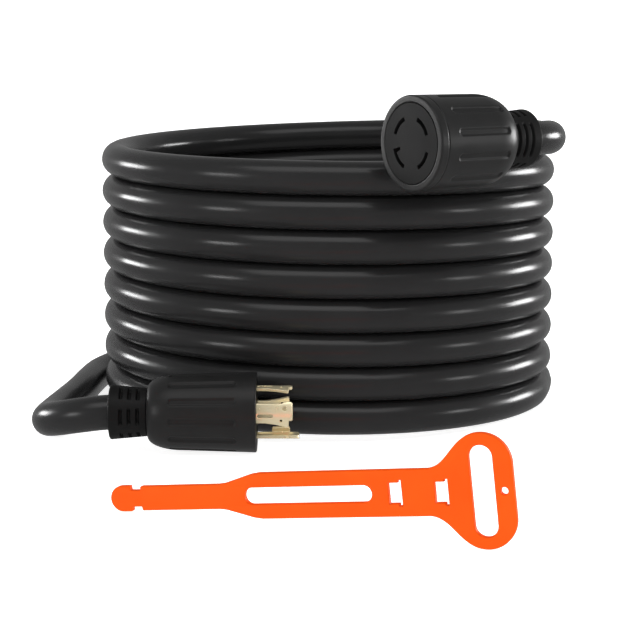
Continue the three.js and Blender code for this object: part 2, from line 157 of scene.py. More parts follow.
# %% Helpers for materials
def new_material(name):
    """A material and its graph, with a Principled shader already joined to the output."""
    material = bpy.data.materials.new(name)
    material.use_nodes = True
    tree = material.node_tree
    tree.nodes.clear()
    shader = add(tree, "ShaderNodeBsdfPrincipled")
    add(tree, "ShaderNodeOutputMaterial", {"Surface": shader.outputs[0]})
    return material, tree, shader


def noise(tree, place, size, detail=3.0):
    """Cloudy noise whose patches are about `size` metres across."""
    inputs = {"Vector": place, "Scale": 1 / size, "Detail": detail}
    return add(tree, "ShaderNodeTexNoise", inputs).outputs["Fac"]


def spread(tree, factor, low, high):
    """Stretches the middle of a noise so that it runs from low to high."""
    inputs = {"Value": factor, "From Min": 0.3, "From Max": 0.7, "To Min": low, "To Max": high}
    return add(tree, "ShaderNodeMapRange", inputs).outputs[0]


def blend_colours(tree, factor, first, second):
    """A mix of two colours by a factor from 0 to 1."""
    mix = add(tree, "ShaderNodeMix", {"Factor": factor}, data_type="RGBA")
    mix.inputs["A"].default_value = (*first, 1)
    mix.inputs["B"].default_value = (*second, 1)
    return mix.outputs["Result"]


def bumped(tree, shader, height, depth):
    """Gives the shader a bump, `depth` metres deep."""
    bump = add(tree, "ShaderNodeBump", {"Height": height, "Distance": depth, "Strength": 1.0})
    tree.links.new(bump.outputs[0], shader.inputs["Normal"])


# %% Jacket: glossy vinyl with drawn streaks
JACKET_GLOSS = 0.26


def jacket_finish():
    """Streaks and pores that follow the cord, by the place along it that its mesh carries."""
    material, tree, shader = new_material("jacket_rubber")
    along = add(tree, "ShaderNodeAttribute", attribute_name="jacket").outputs["Vector"]
    drawn = add(tree, "ShaderNodeMapping", {"Vector": along, "Scale": (0.04, 1, 1)}).outputs[0]
    streaks = noise(tree, drawn, 0.0016, 2.0)
    cloud = noise(tree, along, 0.03)
    shade = blend_colours(tree, cloud, (0.015, 0.015, 0.0152), (0.021, 0.021, 0.0213))
    tree.links.new(shade, shader.inputs["Base Color"])
    tree.links.new(spread(tree, cloud, 0.2, 0.27), shader.inputs["Roughness"])
    shader.inputs["Specular IOR Level"].default_value = JACKET_GLOSS
    pores = noise(tree, along, 0.0011)
    height = calc(tree, "ADD", streaks, calc(tree, "MULTIPLY", pores, 0.35))
    bumped(tree, shader, height, 0.00002)
    return material


# %% Shells, sleeves and faces: moulded blacks
def moulded_black(name, dark, light, gloss, smooth, rough, grain, depth):
    """Moulded plastic: cloudy gloss over a fine grain of the given size and depth in metres."""
    material, tree, shader = new_material(name)
    place = add(tree, "ShaderNodeTexCoord").outputs["Object"]
    cloud = noise(tree, place, 0.014)
    shade = blend_colours(tree, cloud, (dark,) * 3, (light,) * 3)
    tree.links.new(shade, shader.inputs["Base Color"])
    tree.links.new(spread(tree, cloud, smooth, rough), shader.inputs["Roughness"])
    shader.inputs["Specular IOR Level"].default_value = gloss
    bumped(tree, shader, noise(tree, place, grain, 2.0), depth)
    return material


# %% Metals: rolled brass and bare copper
def rolled_metal(name, bright, dull, metallic, smooth, rough):
    """Bare metal with fine rolling lines along Z and a little tarnish in soft patches."""
    material, tree, shader = new_material(name)
    place = add(tree, "ShaderNodeTexCoord").outputs["Object"]
    tarnish = noise(tree, place, 0.004)
    tree.links.new(blend_colours(tree, tarnish, bright, dull), shader.inputs["Base Color"])
    tree.links.new(spread(tree, tarnish, smooth, rough), shader.inputs["Roughness"])
    shader.inputs["Metallic"].default_value = metallic
    lines = add(tree, "ShaderNodeMapping", {"Vector": place, "Scale": (0.06, 1, 1)}).outputs[0]
    bumped(tree, shader, noise(tree, lines, 0.0003), 0.000006)
    return material


# %% Wires and strap: coloured vinyl
VINYL_GLOSS = 0.12


def coloured_vinyl(name, main, shade, smooth, rough, grain, depth):
    """Coloured vinyl or polyurethane, a little deeper in colour in broad soft patches."""
    material, tree, shader = new_material(name)
    place = add(tree, "ShaderNodeTexCoord").outputs["Object"]
    cloud = noise(tree, place, 0.02)
    colour = blend_colours(tree, spread(tree, cloud, 0.0, 1.0), main, shade)
    tree.links.new(colour, shader.inputs["Base Color"])
    tree.links.new(spread(tree, cloud, smooth, rough), shader.inputs["Roughness"])
    shader.inputs["Specular IOR Level"].default_value = VINYL_GLOSS
    bumped(tree, shader, noise(tree, place, grain), depth)
    return material


# %% Make the finishes
MOULDED = {
    "shell_black": {"dark": 0.013, "light": 0.019, "gloss": 0.17, "smooth": 0.3, "rough": 0.38},
    "relief_black": {"dark": 0.006, "light": 0.009, "gloss": 0.12, "smooth": 0.45, "rough": 0.58},
    "insulator_black": {"dark": 0.009, "light": 0.013, "gloss": 0.06, "smooth": 0.42, "rough": 0.54},
}
GRAINS = {  # size and depth, in metres
    "shell_black": (0.0005, 0.000008),
    "relief_black": (0.0007, 0.00002),
    "insulator_black": (0.0004, 0.00003),
}
METALS = {
    "brass": {"bright": (1.0, 0.92, 0.66), "dull": (0.97, 0.82, 0.5), "metallic": 0.6},
    "copper": {"bright": (0.84, 0.42, 0.25), "dull": (0.6, 0.26, 0.14), "metallic": 1.0},
}
ROLLED_ROUGHNESS = {"brass": (0.16, 0.28), "copper": (0.28, 0.42)}
WIRE_COLOURS = {
    "black": ((0.012, 0.012, 0.012), (0.02, 0.02, 0.02)),
    "white": ((0.78, 0.77, 0.73), (0.7, 0.68, 0.63)),
    "red": ((0.5, 0.02, 0.015), (0.4, 0.014, 0.01)),
    "green": ((0.015, 0.19, 0.05), (0.01, 0.14, 0.035)),
}
WIRE_SURFACE = {"smooth": 0.25, "rough": 0.4, "grain": 0.0008, "depth": 0.00001}
STRAP_COLOURS = ((0.95, 0.1, 0.0004), (0.9, 0.088, 0.0003))
STRAP_SURFACE = {"smooth": 0.4, "rough": 0.52, "grain": 0.0009, "depth": 0.00002}

FINISH = {"jacket_rubber": jacket_finish()}
for name, look in MOULDED.items():
    grain, depth = GRAINS[name]
    FINISH[name] = moulded_black(name, grain=grain, depth=depth, **look)
for name, look in METALS.items():
    smooth, rough = ROLLED_ROUGHNESS[name]
    FINISH[name] = rolled_metal(name, smooth=smooth, rough=rough, **look)
FINISH["strap_orange"] = coloured_vinyl("strap_orange", *STRAP_COLOURS, **STRAP_SURFACE)
for colour, colours in WIRE_COLOURS.items():
    FINISH["wire_" + colour] = coloured_vinyl("wire_" + colour, *colours, **WIRE_SURFACE)
print("finishes:", ", ".join(FINISH))

# %% [markdown]
# ## The cord
# Its jacket is 17.8 mm across, so it bends stiffly and lies in wide, even turns. The route
# has three kinds of stretch. The two free ends are short lists of given places,
# and the turns between them are worked out by a loop: each drops one diameter, most of it
# round the back, so the front looks level. The last turn moves outwards, because there is
# no room for it under the stack. A Bezier curve through all these places makes it one line.

# %% Route of the cord, about the coil's axis
CORD_D = 17.8 * MM
COIL_R = 120.4 * MM  # to the middle of the cord
TURNS = 8
COIL_TOP = TURNS * CORD_D + CORD_D / 2
LEFT_LIFT = 6.6 * MM  # what a turn still has to drop when it is halfway round
TAIL_SPREAD = 18.6 * MM  # how far the last turn moves out
SPREAD_LEAD = 12  # degrees before the right-hand side at which it starts to
SPREAD_POWER = 0.8  # below 1, so that it is clear of the stack early
FLOOR_GAP = 0.05 * MM
TURN_STEP = 10  # degrees between the places on the wound turns
TAIL_STEP = 12

PLUG_ROUTE = [
    (-0.0838, -0.145, 0.0204),
    (-0.097, -0.145, 0.0204),
    (-0.112, -0.145, 0.0203),
    (-0.1267, -0.1426, 0.0182),
    (-0.1371, -0.1356, 0.0154),
    (-0.1441, -0.1252, 0.0126),
    (-0.1465, -0.113, 0.0104),
    (-0.1462, -0.09, 0.0091),
    (-0.1434, -0.06, 0.00895),
    (-0.1406, -0.03, 0.00895),
    (-0.139, 0.0, 0.00895),
]
CONNECTOR_ROUTE = [
    (0.0782, -0.1262, 0.1564),
    (0.088, -0.1188, 0.1564),
    (0.0992, -0.1104, 0.1564),
    (0.1087, -0.1009, 0.1562),
    (0.1151, -0.0882, 0.1558),
    (0.1172, -0.074, 0.1552),
    (0.1169, -0.059, 0.1544),
    (0.1167, -0.043, 0.1536),
    (0.1177, -0.026, 0.1528),
    (0.1193, -0.009, 0.1521),
    (0.12015, 0.0074, 0.1518),
    (0.1198, 0.012, 0.15175),
]


def round_point(radius, degrees, height):
    """A place at a distance and an angle from the coil's axis."""
    angle = math.radians(degrees)
    return (radius * math.cos(angle), radius * math.sin(angle), height)


def turn_point(degrees):
    """A place on the wound turns, counted from the right-hand side at the top."""
    uneven = (CORD_D / 2 - LEFT_LIFT) * (1 - math.cos(math.radians(degrees))) / 2
    return round_point(COIL_R, degrees, COIL_TOP - CORD_D * degrees / 360 - uneven)


def tail_point(degrees):
    """A place on the last turn, as it moves out round the back to lie beside the stack."""
    share = (degrees + SPREAD_LEAD) / (180 + SPREAD_LEAD)
    out = TAIL_SPREAD * math.sin(share * math.pi / 2) ** SPREAD_POWER
    return round_point(COIL_R + out, degrees, CORD_D / 2 + FLOOR_GAP)


route = PLUG_ROUTE[:-1]
route += [tail_point(a) for a in range(180, 0, -TAIL_STEP)]
route += [turn_point(a) for a in range(360 * TURNS - 15, 20, -TURN_STEP)]
route += CONNECTOR_ROUTE[-2::-1]
route = [Vector(p) + COIL for p in route]
print("places on the route:", len(route))


# %% Draw one smooth line through the route
LINE_STEPS = 4  # rings from one place to the next


def bezier(name, points):
    """A curve object that passes smoothly through the points."""
    data = bpy.data.curves.new(name, "CURVE")
    data.dimensions = "3D"
    data.resolution_u = LINE_STEPS
    spline = data.splines.new("BEZIER")
    spline.bezier_points.add(len(points) - 1)
    for knot, point in zip(spline.bezier_points, points):
        knot.co = point
        knot.handle_left_type = "AUTO"
        knot.handle_right_type = "AUTO"
    return bpy.data.objects.new(name, data)


centres = [v.co.copy() for v in baked(bezier("cord_line", route)).vertices]

# %% [markdown]
# A geometry tree sweeps the round section along that line. Before the sweep it notes how far
# along the line each ring is, and where round the section each point is. Both are kept on
# the mesh as one vector, in metres, so the jacket's streaks can run along the cord however it
# bends, with no seam.


# %% Sweep the jacket along the line
def jacket_tree():
    """A round section swept along a curve, with the place along and around kept on it."""
    inputs = [("Radius", "Float"), ("Sides", "Int"), ("Material", "Material")]
    tree, given = new_tree("Jacket", inputs)
    walk = add(tree, "GeometryNodeCaptureAttribute", {"Geometry": given["Geometry"]})
    walk.capture_items.new("FLOAT", "Along")
    distance = add(tree, "GeometryNodeSplineParameter").outputs["Length"]
    tree.links.new(distance, walk.inputs["Along"])
    section = add(
        tree,
        "GeometryNodeCurvePrimitiveCircle",
        {"Resolution": given["Sides"], "Radius": given["Radius"]},
    )
    around = add(tree, "GeometryNodeCaptureAttribute", {"Geometry": section.outputs[0]})
    around.capture_items.new("VECTOR", "Around")
    position = add(tree, "GeometryNodeInputPosition").outputs[0]
    tree.links.new(position, around.inputs["Around"])
    tube = add(
        tree,
        "GeometryNodeCurveToMesh",
        {"Curve": walk.outputs[0], "Profile Curve": around.outputs[0], "Fill Caps": True},
    )
    spot = add(tree, "ShaderNodeSeparateXYZ", {0: around.outputs["Around"]}).outputs
    joined = add(
        tree,
        "ShaderNodeCombineXYZ",
        {"X": walk.outputs["Along"], "Y": spot["X"], "Z": spot["Y"]},
    )
    kept = add(
        tree,
        "GeometryNodeStoreNamedAttribute",
        {"Geometry": tube.outputs[0], "Name": "jacket", "Value": joined.outputs[0]},
        data_type="FLOAT_VECTOR",
    )
    smooth = add(tree, "GeometryNodeSetShadeSmooth", {"Geometry": kept.outputs[0]})
    end_tree(tree, smooth.outputs[0], given["Material"])
    return tree


JACKET_SIDES = 28

cord_curve = bezier("cord_sweep", route)
jacket = {"Radius": CORD_D / 2, "Sides": JACKET_SIDES, "Material": FINISH["jacket_rubber"]}
add_modifier(cord_curve, jacket_tree(), jacket)
cord = bpy.data.objects.new("cord_jacket", baked(cord_curve))
scene.collection.objects.link(cord)
print("jacket:", len(cord.data.polygons), "faces")

# %% [markdown]
# ## Light and floor
# The glossy turns are seen mostly by what they reflect, so the lights are placed by their
# reflections. A round coil turns a light's direction into a place across its width: one that
# stands a little behind the coil's side shows as a bright streak near its edge, and one
# further forward shows nearer the middle. So two small strong softboxes stand at the sides,
# two weaker ones stand in front of them, and a broad one overhead lifts the upper edges.
# The floor curves up behind into a backdrop, so there is no horizon. It glows, so that it
# reads as white, and is kept out of reflections, because in them it would turn the undersides
# of the turns grey.


# %% Softboxes round the coil
AIM_HEIGHT = 0.08  # the middle of the coil, which every light faces
SIDE_RISE = 8
SIDE_DISTANCE = 1.6


def softbox(name, azimuth, elevation, distance, width, height, watts):
    """A rectangular light, placed by its angle round from the camera's side."""
    data = bpy.data.lights.new(name, "AREA")
    data.shape = "RECTANGLE"
    data.size = width
    data.size_y = height
    data.energy = watts
    light = bpy.data.objects.new(name, data)
    turn, rise = math.radians(azimuth), math.radians(elevation)
    level = Vector((math.sin(turn), -math.cos(turn), 0))
    away = level * math.cos(rise) + Vector((0, 0, math.sin(rise)))
    light.location = COIL + Vector((0, 0, AIM_HEIGHT)) + away * distance
    light.rotation_euler = away.to_track_quat("Z", "Y").to_euler()
    light.visible_camera = False
    scene.collection.objects.link(light)
    print(name, "at", azimuth, "degrees,", watts, "W")


SIDES = [
    {"name": "left_softbox", "azimuth": -110, "width": 0.58, "height": 0.28, "watts": 11},
    {"name": "right_softbox", "azimuth": 111, "width": 0.62, "height": 0.34, "watts": 14},
    {"name": "left_fill", "azimuth": -51, "width": 0.36, "height": 0.3, "watts": 3.4},
    {"name": "right_fill", "azimuth": 67, "width": 0.36, "height": 0.3, "watts": 2.5},
]
for side in SIDES:
    softbox(elevation=SIDE_RISE, distance=SIDE_DISTANCE, **side)
softbox("top_softbox", azimuth=0, elevation=60, distance=1.8, width=2.0, height=1.0, watts=12)


# %% Floor that curves up into a backdrop
PAPER_LIGHT = (0.89, 0.89, 0.89)
PAPER_DARK = (0.86, 0.86, 0.86)
PAPER_GLOW = 0.85


def backdrop():
    """A pale sheet: flat under the cord, and curved up to a wall well behind it."""
    reach, bend, wall, width, steps = 2.6, 0.8, 4.0, 12.0, 24
    line = [(-width, 0.0), (reach, 0.0)]
    for i in range(1, steps + 1):
        turn = math.pi / 2 * i / steps
        line.append((reach + bend * math.sin(turn), bend * (1 - math.cos(turn))))
    line.append((reach + bend, wall))
    points = [(x, y, z) for y, z in line for x in (-width, width)]
    faces = [(i, i + 1, i + 3, i + 2) for i in range(0, len(points) - 2, 2)]
    mesh = bpy.data.meshes.new("backdrop")
    mesh.from_pydata(points, [], faces)
    mesh.shade_smooth()
    return bpy.data.objects.new("backdrop", mesh)


floor = backdrop()
paper, paper_tree, paper_shader = new_material("backdrop_paper")
paper_place = add(paper_tree, "ShaderNodeTexCoord").outputs["Object"]
paper_cloud = noise(paper_tree, paper_place, 0.4)
paper_colour = blend_colours(paper_tree, paper_cloud, PAPER_DARK, PAPER_LIGHT)
paper_tree.links.new(paper_colour, paper_shader.inputs["Base Color"])
paper_shader.inputs["Roughness"].default_value = 0.9
paper_shader.inputs["Emission Color"].default_value = (1, 1, 1, 1)
paper_shader.inputs["Emission Strength"].default_value = PAPER_GLOW
floor.data.materials.append(paper)
floor.visible_glossy = False
scene.collection.objects.link(floor)
print("backdrop:", len(floor.data.polygons), "faces")

# %% [markdown]
# From another side the camera looks past the floor's edge, so a tall white ring stands round
# the whole studio. It is hidden from every ray but the camera's own, and so lights nothing.


# %% White surround, for cameras that look another way
def surround():
    """A tall open ring far outside the studio."""
    radius, foot, top, steps = 11.0, -1.0, 12.0, 48
    points = []
    for i in range(steps):
        turn = 2 * math.pi * i / steps
        points += [(radius * math.cos(turn), radius * math.sin(turn), z) for z in (foot, top)]
    count = len(points)
    faces = [(i, (i + 2) % count, (i + 3) % count, i + 1) for i in range(0, count, 2)]
    mesh = bpy.data.meshes.new("surround")
    mesh.from_pydata(points, [], faces)
    return bpy.data.objects.new("surround", mesh)


ring = surround()
glow, _, glow_shader = new_material("surround_white")
glow_shader.inputs["Base Color"].default_value = (0, 0, 0, 1)
glow_shader.inputs["Specular IOR Level"].default_value = 0.0
glow_shader.inputs["Emission Color"].default_value = (1, 1, 1, 1)
glow_shader.inputs["Emission Strength"].default_value = 1.0
ring.data.materials.append(glow)
ring.visible_diffuse = False
ring.visible_glossy = False
ring.visible_shadow = False
scene.collection.objects.link(ring)
print("surround:", len(ring.data.polygons), "faces")

# %% Even light from all round
WORLD_STRENGTH = 0.32

world = bpy.data.worlds.new("studio")
world.use_nodes = True
sky = world.node_tree.nodes["Background"]
sky.inputs["Color"].default_value = (1, 1, 1, 1)
sky.inputs["Strength"].default_value = WORLD_STRENGTH
scene.world = world
scene.view_settings.view_transform = "Standard"
print("world strength:", WORLD_STRENGTH)

# %% [markdown]
# ## Turned bodies
# The shells and the ribbed sleeves are round, so each starts as a closed outline of (radius,
# height) points turned about the Z axis. A lathe mesh could be cut with booleans, but their
# edges come out ragged and shade badly. Here the turned skin is made fine enough to be pushed
# in instead, and the edge of every groove stays soft, as a moulding's does.


# %% Helpers for outlines and lathe meshes
def arc(middle, radius, start, end, steps):
    """Points along an arc, from one angle to another in degrees."""
    points = []
    for i in range(steps + 1):
        angle = math.radians(start + (end - start) * i / steps)
        points.append((middle[0] + radius * math.cos(angle), middle[1] + radius * math.sin(angle)))
    return points


def fine(points, step):
    """The line with more points, so that no side is longer than step."""
    result = [points[0]]
    for (x0, y0), (x1, y1) in zip(points, points[1:]):
        count = max(1, math.ceil(math.hypot(x1 - x0, y1 - y0) / step))
        for i in range(1, count + 1):
            result.append((x0 + (x1 - x0) * i / count, y0 + (y1 - y0) * i / count))
    return result


def lathe(name, outline, columns):
    """An object made by turning a closed outline of (radius, height) points about Z."""
    rows = len(outline)
    points = []
    for i in range(columns):
        angle = 2 * math.pi * i / columns
        points += [(r * math.cos(angle), r * math.sin(angle), z) for r, z in outline]
    faces = []
    for i in range(columns):
        for j in range(rows):
            here, right = i * rows, (i + 1) % columns * rows
            up = (j + 1) % rows
            faces.append((here + j, right + j, right + up, here + up))
    mesh = bpy.data.meshes.new(name)
    mesh.from_pydata(points, [], faces)
    outward(mesh)
    return bpy.data.objects.new(name, mesh)


def outward(mesh):
    """Welds doubled points and turns every face of a closed mesh outwards."""
    work = bmesh.new()
    work.from_mesh(mesh)
    bmesh.ops.remove_doubles(work, verts=work.verts, dist=1e-4)
    bmesh.ops.recalc_face_normals(work, faces=work.faces)
    if work.calc_volume(signed=True) < 0:
        bmesh.ops.reverse_faces(work, faces=work.faces)
    for face in work.faces:
        face.smooth = True
    work.to_mesh(mesh)
    work.free()


# %% [markdown]
# The twelve finger grooves on a shell and the slots round a sleeve are the same rule at
# different sizes: a rounded rectangle, wrapped round the axis and repeated a number of times.
# One geometry tree measures how far each point of the skin is inside the nearest rectangle,
# and pushes it in by the cut's depth over a soft edge. Points nearer the axis than the skin
# are left alone, so the inner wall keeps its shape.


# %% A tree that presses repeated cuts into a turned skin
def cuts_tree():
    """The tree. Its angles are in degrees and its lengths in the mesh's own units."""
    labels = ["Half width", "Half length", "Corner", "Depth", "Middle", "Softness", "Skin radius"]
    inputs = [("Count", "Int"), ("First at", "Float")]
    inputs += [(label, "Float") for label in labels] + [("Material", "Material")]
    tree, given = new_tree("Repeated cuts", inputs)

    def sum_of(operation, *values):
        return calc(tree, operation, *values)

    position = add(tree, "GeometryNodeInputPosition").outputs[0]
    x, y, z = add(tree, "ShaderNodeSeparateXYZ", {0: position}).outputs
    radius = sum_of("SQRT", sum_of("ADD", sum_of("MULTIPLY", x, x), sum_of("MULTIPLY", y, y)))
    degrees = sum_of("DEGREES", sum_of("ARCTAN2", y, x))
    pitch = sum_of("DIVIDE", 360.0, given["Count"])
    steps = sum_of("DIVIDE", sum_of("SUBTRACT", degrees, given["First at"]), pitch)
    from_nearest = sum_of("MULTIPLY", sum_of("SUBTRACT", steps, sum_of("ROUND", steps)), pitch)
    across = sum_of("ABSOLUTE", sum_of("MULTIPLY", sum_of("RADIANS", from_nearest), radius))
    along = sum_of("ABSOLUTE", sum_of("SUBTRACT", z, given["Middle"]))
    inner_width = sum_of("SUBTRACT", given["Half width"], given["Corner"])
    inner_length = sum_of("SUBTRACT", given["Half length"], given["Corner"])
    past_x = sum_of("SUBTRACT", across, inner_width)
    past_z = sum_of("SUBTRACT", along, inner_length)
    out_x = sum_of("POWER", sum_of("MAXIMUM", past_x, 0.0), 2.0)
    out_z = sum_of("POWER", sum_of("MAXIMUM", past_z, 0.0), 2.0)
    outside = sum_of("SQRT", sum_of("ADD", out_x, out_z))
    inside = sum_of("MINIMUM", sum_of("MAXIMUM", past_x, past_z), 0.0)
    edge = sum_of("SUBTRACT", sum_of("ADD", outside, inside), given["Corner"])
    pressed = add(
        tree,
        "ShaderNodeMapRange",
        {
            "Value": edge,
            "From Min": sum_of("MULTIPLY", given["Softness"], -1.0),
            "From Max": 0.0,
            "To Min": given["Depth"],
            "To Max": 0.0,
        },
        interpolation_type="SMOOTHSTEP",
    ).outputs[0]
    on_skin = sum_of("GREATER_THAN", radius, given["Skin radius"])
    share = sum_of("DIVIDE", sum_of("MULTIPLY", pressed, on_skin), sum_of("MULTIPLY", radius, -1.0))
    shift = add(
        tree,
        "ShaderNodeCombineXYZ",
        {"X": sum_of("MULTIPLY", x, share), "Y": sum_of("MULTIPLY", y, share)},
    )
    moved = add(
        tree,
        "GeometryNodeSetPosition",
        {"Geometry": given["Geometry"], "Offset": shift.outputs[0]},
    )
    end_tree(tree, moved.outputs[0], given["Material"])
    return tree


CUTS = cuts_tree()
print("tree:", CUTS.name, "with", len(CUTS.nodes), "nodes")

# %% [markdown]
# ## Placing a piece
# Each end of the cord is drawn about its own axis, with its face at z = 0 and its cord going
# back along -Z. One matrix per end scales it to metres and turns it to lie as the frame says.


# %% Helper that places a piece and hangs it on its body
def place(name, mesh, matrix, slot, body, *nodes):
    """Puts a finished mesh into the scene, in the frame, in place of its CAD nodes."""
    mesh.name = name
    mesh.transform(matrix)
    mesh.materials.clear()
    mesh.materials.append(FINISH[slot])
    piece = bpy.data.objects.new(name, mesh)
    scene.collection.objects.link(piece)
    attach(piece, body)
    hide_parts(*nodes)
    print(name, len(mesh.polygons), "faces")
    return piece


def stance(face, direction):
    """Turns +Z to a direction, keeps +Y up, moves to the face and scales to metres."""
    up = Vector((0, 0, 1))
    turned = Matrix((up.cross(direction), up, direction)).transposed().to_4x4()
    return Matrix.Translation(COIL + Vector(face) * MM) @ turned @ Matrix.Scale(MM, 4)


# %% Sizes of the two ends, in millimetres
CONNECTOR_FACE = (39.7, -155.2, 156.4)
CONNECTOR_YAW = math.radians(37)
CONNECTOR_POINTS = Vector((-math.cos(CONNECTOR_YAW), -math.sin(CONNECTOR_YAW), 0))
PLUG = {
    "name": "plug",
    "stance": stance(PLUG_FACE, Vector((1, 0, 0))),
    "front": 20.4,
    "rear": 19.3,
    "length": 55.0,
    "dome_start": 37.5,
    "dome_end": 12.6,
    "inner": 17.2,
    "grooves": (10, 44),
    "grooves_at": 4.0,
    "sleeve_root": 12.2,
    "sleeve_end": 13.8,
    "slots_round": 6,
    "slot_span": 38,
    "face_depth": 5.0,
    "seam": 0.0,
    "columns": 240,
}
CONNECTOR = {
    "name": "connector",
    "stance": stance(CONNECTOR_FACE, CONNECTOR_POINTS),
    "front": 23.7,
    "rear": 23.5,
    "length": 55.8,
    "dome_start": 39.0,
    "dome_end": 14.8,
    "inner": 20.0,
    "grooves": (12, 46),
    "grooves_at": 15.0,
    "sleeve_root": 13.8,
    "sleeve_end": 15.0,
    "slots_round": 4,
    "slot_span": 72,
    "face_depth": 6.0,
    "seam": 0.25,
    "columns": 280,
}
BACK_WALL = 8.0  # the shell's back wall, which the sleeve's neck passes through
SLEEVE_L = 19.2  # what shows of a sleeve
SLEEVE_BORE = 9.3
SLEEVE_FLANGE = 14.5
NECK = 11.6
GAP = 0.3  # air between pieces that touch
print("plug", 2 * PLUG["front"], "mm across, connector", 2 * CONNECTOR["front"], "mm")

# %% [markdown]
# ## Shells
# A shell is a satin black cup: nearly straight sides that taper a little towards the cord,
# then a quarter-ellipse dome down to the sleeve. Its front rim is rounded, and the face sits
# in it with a hairline gap. The grooves start behind a smooth band at the front and run out
# over the start of the dome.


# %% Turn a shell and press its grooves
RIM_R = 0.9
CHAMFER = 0.4  # at the mouth and at the back hole
SEAM_AT = 4.6  # moulding line behind the connector's rim
DOME_STEPS = 24
SHELL_STEP = 0.45  # longest side of a face along the outline
GROOVES = 12
GROOVE_HALF_W = 1.8
GROOVE_DEPTH = 0.95
GROOVE_SOFTNESS = 0.4


def shell_outside(end):
    """The outer line of a shell, from its mouth to the edge of its back hole."""
    taper = (end["front"] - end["rear"]) / end["dome_start"]
    line = [(end["inner"] + CHAMFER, 0.0)]
    line += arc((end["front"] - RIM_R, -RIM_R), RIM_R, 90, 0, 6)
    cut = end["seam"]
    if cut:
        r, z = end["front"] - taper * SEAM_AT, -SEAM_AT
        line += [(r, z + cut), (r - cut, z), (r - cut, z - cut), (r, z - 2 * cut)]
    fall = end["rear"] - end["dome_end"]
    depth = end["length"] - end["dome_start"]
    for i in range(DOME_STEPS + 1):
        turn = math.pi / 2 * i / DOME_STEPS
        r = end["dome_end"] + fall * math.cos(turn)
        line.append((r, -end["dome_start"] - depth * math.sin(turn)))
    return line + [(NECK + GAP + CHAMFER, -end["length"])]


def shell_inside(end):
    """The inner line of a shell, from its back hole to its mouth."""
    back, bore, inner = end["length"] - BACK_WALL, NECK + GAP, end["inner"]
    line = [(bore, CHAMFER - end["length"]), (bore, -back), (inner - 1.6, -back)]
    return line + [(inner, 7 - back), (inner, -CHAMFER)]


def shell(end):
    """A shell with its grooves, in the scene."""
    outline = fine(shell_outside(end), SHELL_STEP) + shell_inside(end)
    turned = lathe(end["name"] + "_turned", outline, end["columns"])
    near, far = end["grooves"]
    grooves = {
        "Count": GROOVES,
        "First at": end["grooves_at"],
        "Half width": GROOVE_HALF_W,
        "Half length": (far - near) / 2,
        "Corner": GROOVE_HALF_W,
        "Depth": GROOVE_DEPTH,
        "Middle": -(near + far) / 2,
        "Softness": GROOVE_SOFTNESS,
        "Skin radius": end["inner"] + 1.0,
        "Material": FINISH["shell_black"],
    }
    add_modifier(turned, CUTS, grooves)
    name, node = end["name"] + "_body", end["name"] + "_shell"
    return place(name, baked(turned), end["stance"], "shell_black", "cord_set", node)


bodies = [shell(PLUG), shell(CONNECTOR)]

# %% [markdown]
# ## Strain relief sleeves
# A sleeve is softer rubber, cut by three rings of slots so that it bends a little more at
# each one. It flares towards the cord and is held in the shell by a neck and an inner flange.
# The slots are too deep for bump, so the same tree presses them in, once for each ring.


# %% Turn a sleeve and press its slots
SLEEVE_STEP = 0.2
SLEEVE_COLUMNS = 176
FLANGE_FRONT = 3.3  # front of the flange, from the inside of the back wall
SLOT_PLACES = (6.3, 10.5, 14.8)  # the rings, from the end where the cord comes out
SLOT_HALF_L = 1.05
SLOT_CORNER = 0.7
SLOT_DEPTH = 2.0
SLOT_SOFTNESS = 0.55


def sleeve(end):
    """A sleeve with its slots, in the scene."""
    back, tail = end["length"] - BACK_WALL, end["length"] + SLEEVE_L
    front = FLANGE_FRONT - back
    root, mouth = end["sleeve_root"], end["sleeve_end"]
    outer = [(root, -end["length"] - GAP), (mouth, 1 - tail)]
    outer += arc((mouth - 1, 1 - tail), 1.0, 0, -90, 5)[1:] + [(SLEEVE_BORE + 0.5, -tail)]
    inner = [(SLEEVE_BORE, 0.5 - tail), (SLEEVE_BORE, front), (SLEEVE_FLANGE, front)]
    inner += [(SLEEVE_FLANGE, GAP - back), (NECK, GAP - back), (NECK, -end["length"] - GAP)]
    turned = lathe(end["name"] + "_turned", fine(outer, SLEEVE_STEP) + inner, SLEEVE_COLUMNS)
    middle_radius = (root + mouth) / 2
    slots = {
        "Count": end["slots_round"],
        "First at": 0.0,
        "Half width": math.radians(end["slot_span"] / 2) * middle_radius,
        "Half length": SLOT_HALF_L,
        "Corner": SLOT_CORNER,
        "Depth": SLOT_DEPTH,
        "Softness": SLOT_SOFTNESS,
        "Skin radius": NECK + 0.3,
        "Material": FINISH["relief_black"],
    }
    for from_end in SLOT_PLACES:
        add_modifier(turned, CUTS, {**slots, "Middle": from_end - tail})
    name, node = end["name"] + "_sleeve", end["name"] + "_strain_relief"
    return place(name, baked(turned), end["stance"], "relief_black", "cord_set", node)


sleeves = [sleeve(PLUG), sleeve(CONNECTOR)]

# %% [markdown]
# ## Flat plates
# The faces, the blades and the strap all start as flat plates with holes. A filled 2D curve
# is the plain way to draw one: each outline is a closed line, an outline inside another
# becomes a hole, and the curve's own bevel rounds every edge, inside the holes too. Welding
# and weighted normals then keep the flats flat and the edges soft.


